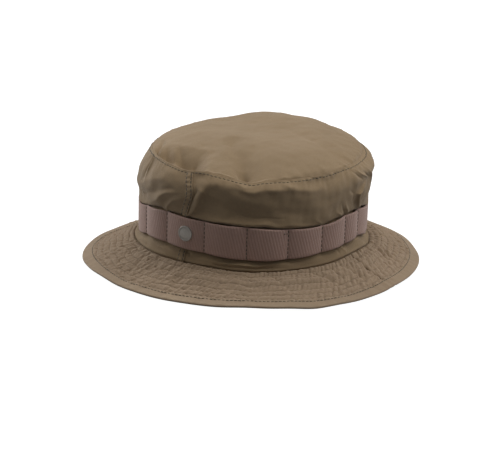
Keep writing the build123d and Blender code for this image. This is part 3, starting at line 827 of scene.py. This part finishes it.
top_rings = 1 - np.linspace(0, 1, 140) ** 1.3
top_rings[-1] = 0.002            # the grid ends in a tiny ring and not in a point
ring_grid, theta_grid = np.meshgrid(top_rings, ROUND, indexing="ij")
top_points = top_at(ring_grid, theta_grid)
top_piece = grid_object("crown_top_cloth", top_points, top_points[..., :2], close_cols=True)
thicken(top_piece, CROWN_T)
dress(top_piece, crown_cloth, "crown_cloth", "crown_top")

# ---------------------------------------- brim
FLOOR_CLEAR = 0.3                # least height of the cloth and thread under the brim


def brim_half(name, start, depth, under=False):
    """Front or back half of one of the brim's cloths, at a depth inside its upper or under face."""
    theta = start + SEAM_GAP + (180 - 2 * SEAM_GAP) * half_shares
    radius = np.linspace(SEAM_R - 0.1, EDGE_R - 1.2, 160)
    radius, theta = np.meshgrid(radius, theta, indexing="ij")
    points = brim_at(theta, radius, -depth, under)
    if under:
        points[..., 2] -= 0.9 * quilt_puff(radius, 0.5) * quilted(radius)
        points[..., 2] = np.maximum(points[..., 2], FLOOR_CLEAR)
    uv = np.stack([np.radians(theta) * BRIM_R, radius], -1)
    return grid_object(name, points, uv, flip=under)


BRIM_LAYERS = (
    ("top", "cloth", 0, BRIM_T, brim_cloth, "brim_cloth"),
    ("interlining", "felt", BRIM_T + 0.05, INTERLINING_T, lining_cloth, "interlining"),
    ("under", "cloth", 0, BRIM_T, brim_cloth, "brim_cloth"),
)
for end, start in (("front", SIDE_SEAM - 180), ("back", SIDE_SEAM)):
    for layer, stuff, depth, thickness, material, slot in BRIM_LAYERS:
        node = f"brim_{layer}_{end}"
        piece = brim_half(f"{node}_{stuff}", start, depth, under=layer == "under")
        thicken(piece, thickness)
        dress(piece, material, slot, node)

# rows of points once round the strip that is folded over the brim's edge
BIND_UP = 0.65                   # its outer face over the brim's cloth
inner_edge = ((0, 0.1), (0, 0.45), (0.3, 0.62))
fold_r = EDGE_T / 2
flat = EDGE_R - fold_r           # where the fold round the edge begins
pucker = 0.10 * wander(on_circle(ROUND, EDGE_R, 0), 7.0, 41)[:, None] * (0, 0, 1)
middle = brim_at(ROUND, flat, BIND_UP - fold_r)
rows = [brim_at(ROUND, BIND_IN + inset, up) for inset, up in inner_edge]
rows += [brim_at(ROUND, r, BIND_UP) + pucker for r in np.linspace(BIND_IN + 1, flat, 12)]
for turn in np.radians(np.linspace(80, -80, 9)):
    rows.append(middle + fold_r * (math.cos(turn) * outward(ROUND) + (0, 0, math.sin(turn))))
rows += [brim_at(ROUND, r, -BIND_UP, under=True) for r in np.linspace(flat, BIND_IN + 1, 12)]
rows += [brim_at(ROUND, BIND_IN + inset, -down, under=True) for inset, down in inner_edge[::-1]]
rows = np.stack(rows)
rows[..., 2] = np.maximum(rows[..., 2], 0.02)
dress(strip_ring("brim_edge_binding_cloth", rows), binding_cloth, "binding_cloth", "brim_edge_binding")

# ---------------------------------------- webbing
web_shares = np.linspace(0, 1, 26)
# the webbing's outer face comes in by 0.25 mm at both selvedges
rows = [webbing_at(ROUND, share, WEB_T - 0.25 * hill(share, 0, 0.02) - 0.25 * hill(share, 1, 0.02))
        for share in web_shares[::-1]]
rows += [webbing_at(ROUND, share, 0.0) for share in web_shares[::5]]
dress(strip_ring("loop_webbing_strip", rows), webbing_cloth, "webbing", "loop_webbing")

# ---------------------------------------- pieces inside the crown
inner_face = CROWN_T + 0.1       # from the crown's outer face to the pieces inside it
tape_heights = np.linspace(TOP_Z - TAPE_W, TOP_Z - 0.6, 12)
rows = [wall_at(ROUND, h, -inner_face) for h in tape_heights]
rows += [wall_at(ROUND, h, -inner_face - TAPE_T) for h in tape_heights[::-1]]
dress(strip_ring("top_seam_tape_strip", rows), tape_cloth, "tape", "top_seam_tape")

band_heights = np.linspace(FOOT_Z + 0.6, SWEAT_TOP, 24)
rows = [wall_at(ROUND, h, -inner_face) for h in band_heights[:-1]]
rows += [wall_at(ROUND, SWEAT_TOP, -inner_face - SWEATBAND_T / 2)]
rows += [wall_at(ROUND, h, -inner_face - SWEATBAND_T) for h in band_heights[-2::-1]]
sweatband = dress(strip_ring("sweatband_strip", rows), band_cloth, "sweatband_cloth", "sweatband")

for name, middle in (("front", FRONT), ("back", BACK)):
    height = np.linspace(SWEAT_TOP + 0.6, TOP_Z - 10.5, 60)[:, None]
    across = np.linspace(-TAPE_W / 2, TAPE_W / 2, 9)[None] / WALL_DEGREE
    theta = seam_theta(middle, height) + across
    height = height + 0 * theta
    points = wall_at(theta, height, -inner_face)
    tape = grid_object(f"{name}_seam_tape_strip", points, np.stack([theta * 1.6, height], -1))
    thicken(tape, TAPE_T)
    dress(tape, tape_cloth, "tape", f"{name}_seam_tape")

# ---------------------------------------- care label
label_low, label_high = box_mm("care_label")
label_u, label_v = np.meshgrid(np.linspace(label_low[0], label_high[0], 49), np.linspace(0, 1, 57))
label_z = label_high[2] + (label_low[2] - label_high[2]) * label_v
hem = smooth((0.10 - label_v) / 0.02) + smooth((label_v - 0.92) / 0.02)
band_face = wall_at(BACK + 0 * label_z, label_z, -inner_face - SWEATBAND_T)[..., 1]
# it lies just off the sweatband, bows with it and ripples a little at its free end
label_y = np.minimum(band_face, band_face.min() + 0.3) - 0.45 - 0.85 * (label_u / label_high[0]) ** 2
label_y = label_y - 0.10 * hem + 0.12 * np.sin(label_u / 5.0) * label_v
label_points = np.stack([label_u, label_y, label_z], -1)
label = grid_object("care_label_satin", label_points, label_points[..., ::2])
thicken(label, LABEL_T, offset=0)
dress(label, label_satin, "label", "care_label", body="care_label")

# ---------------------------------------- stitching
FINE = np.linspace(-180, 180, 2880, endpoint=False)
brim_up = 0.35 * outward(FINE) + np.array((0, 0, 1))
top_up = outward(FINE)


def brim_rows(radius, over):
    """A row of stitches on the brim's upper face and the same row on its under face."""
    upper_path = brim_at(FINE, radius, over)
    under_path = brim_at(FINE, radius, -over, under=True)
    under_path[:, 2] = np.maximum(under_path[:, 2], FLOOR_CLEAR)
    return [stitch_row(upper_path, brim_up, gap=0.5, radius=0.3, closed=True),
            stitch_row(under_path, -brim_up, gap=0.5, radius=0.3, closed=True)]


quilt = []
for row in range(QUILT_ROWS):
    quilt += brim_rows(QUILT_FIRST + row * QUILT_PITCH - quilt_slip(FINE), 0.05)
dress(thread_object("brim_quilting_stitches", quilt), dark_thread, "thread", "brim_quilting_thread")
dress(thread_object("binding_stitches", brim_rows(BIND_IN + 1.3, 0.7)), olive_thread, "thread",
      "binding_thread")

top_row = stitch_row(wall_at(FINE, TOP_Z - 1.5 + 0 * FINE, 0.05), top_up, radius=0.28, closed=True)
dress(thread_object("crown_top_stitches", [top_row]), dark_thread, "thread", "crown_top_thread")

rows = []
for height in (SWEAT_LOW + 2, SWEAT_TOP - 2):
    path = wall_at(FINE, height + 0 * FINE, -inner_face - SWEATBAND_T - 0.05)
    rows.append(stitch_row(path, -top_up, closed=True))
dress(thread_object("sweatband_stitches", rows), olive_thread, "thread", "sweatband_thread")

for name, middle, side in (("front", FRONT, -1), ("back", BACK, 1)):
    rows = []
    for across in FELL_ROWS:
        for low, high in ((SEAM_Z + 0.8, BAND_LOW - 0.3), (BAND_HIGH + 0.6, TOP_Z - 1.2)):
            height = np.linspace(low, high, 120)
            theta = seam_theta(middle, height) + side * across / WALL_DEGREE
            path = wall_at(theta, height, 0.5)
            rows.append(stitch_row(path, outward(theta), length=2.4, gap=0.7, radius=0.3))
    dress(thread_object(f"{name}_seam_stitches", rows), dark_thread, "thread", f"{name}_seam_thread")

tacks = []
for theta in TACKS[:-1]:
    share = np.linspace(0.01, 0.99, 40)
    path = webbing_at(theta + 0 * share, share, WEB_T + 0.05)
    tacks.append(stitch_row(path, outward(theta + 0 * share), length=2.4, gap=0.8, radius=0.34))
# short row beside the tack at which the webbing ends
theta = np.linspace(TACKS[END_TACK] - 2.6, TACKS[END_TACK], 12)
path = webbing_at(theta, 0.86, WEB_T + 0.05)
tacks.append(stitch_row(path, outward(theta), length=1.6, gap=0.5, radius=0.3))
dress(thread_object("webbing_tack_stitches", tacks), dark_thread, "thread", "webbing_tack_thread")

# ---------------------------------------- CAD parts that stay
for node, material in (("badge_cap", badge_face), ("badge_washer", plain_steel)):
    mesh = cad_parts[node].data
    mesh.materials.clear()
    mesh.materials.append(material)

# ---------------------------------------- stage, light and camera
# angles of the photo's view; the other lengths of this section are in metres
AZIMUTH = math.radians(33.5)
ELEVATION = math.radians(17.1)
ROLL = math.radians(1.74)
DISTANCE = 1.2377
AIM_Z = 0.02534
AIM_RIGHT = -0.00214
FLOOR_HALF = 6000                # millimetres, as in every mesh

right = Vector((math.cos(AZIMUTH), math.sin(AZIMUTH), 0))
away = Vector((-math.sin(AZIMUTH), math.cos(AZIMUTH), 0))
to_camera = Vector((
    math.sin(AZIMUTH) * math.cos(ELEVATION),
    -math.cos(AZIMUTH) * math.cos(ELEVATION),
    math.sin(ELEVATION),
))

corners = FLOOR_HALF * np.array([(-1, -1, 0), (1, -1, 0), (1, 1, 0), (-1, 1, 0)])
floor = new_object("floor", corners, [(0, 1, 2, 3)])
floor.location.z = -0.0005
floor.visible_diffuse = False
floor.data.materials.append(new_material(
    "pale_floor", Base_Color=(0.2, 0.2, 0.2, 1), Roughness=0.9, Emission_Color=(1, 1, 1, 1),
    Emission_Strength=1.0)[0])

camera_data = bpy.data.cameras.new("camera")
camera_data.lens = 110.5
camera_data.sensor_width = 36
camera = place_in_scene("camera", camera_data)
up = to_camera.cross(right)
level = right * math.cos(ROLL) + up * math.sin(ROLL)
pose = Matrix((level, to_camera.cross(level), to_camera)).transposed().to_4x4()
pose.translation = Vector((0, 0, AIM_Z)) + right * AIM_RIGHT + to_camera * DISTANCE
camera.matrix_world = pose
bpy.context.scene.camera = camera

world = bpy.data.worlds.new("world")
world.use_nodes = True
sky = world.node_tree.nodes["Background"].inputs
sky["Color"].default_value = (1, 1, 1, 1)
sky["Strength"].default_value = 0.12
bpy.context.scene.world = world
bpy.context.scene.view_settings.view_transform = "Standard"

# each soft box: metres to the camera's right, metres away from it, height, size and power
LIGHTS = {
    "over": (0, 0, 1.6, 1.0, 12),
    "over_right": (1.0, 0, 1.3, 0.8, 8.5),
    "behind_left": (-1.0, 0.8, 0.5, 0.7, 9),
    "behind_right": (1.0, 0.8, 0.5, 0.7, 2),
    "side_left": (-1.3, 0, 0.45, 0.7, 2.2),
    "side_right": (1.3, 0, 0.45, 0.7, 2),
}
for name, (rightwards, backwards, height, size, power) in LIGHTS.items():
    data = bpy.data.lights.new(name, "AREA")
    data.shape = "SQUARE"
    data.size = size
    data.energy = power
    light = place_in_scene(name, data)
    light.location = right * rightwards + away * backwards + Vector((0, 0, height))
    light.rotation_euler = (Vector((0, 0, 0.05)) - light.location).to_track_quat("-Z", "Y").to_euler()
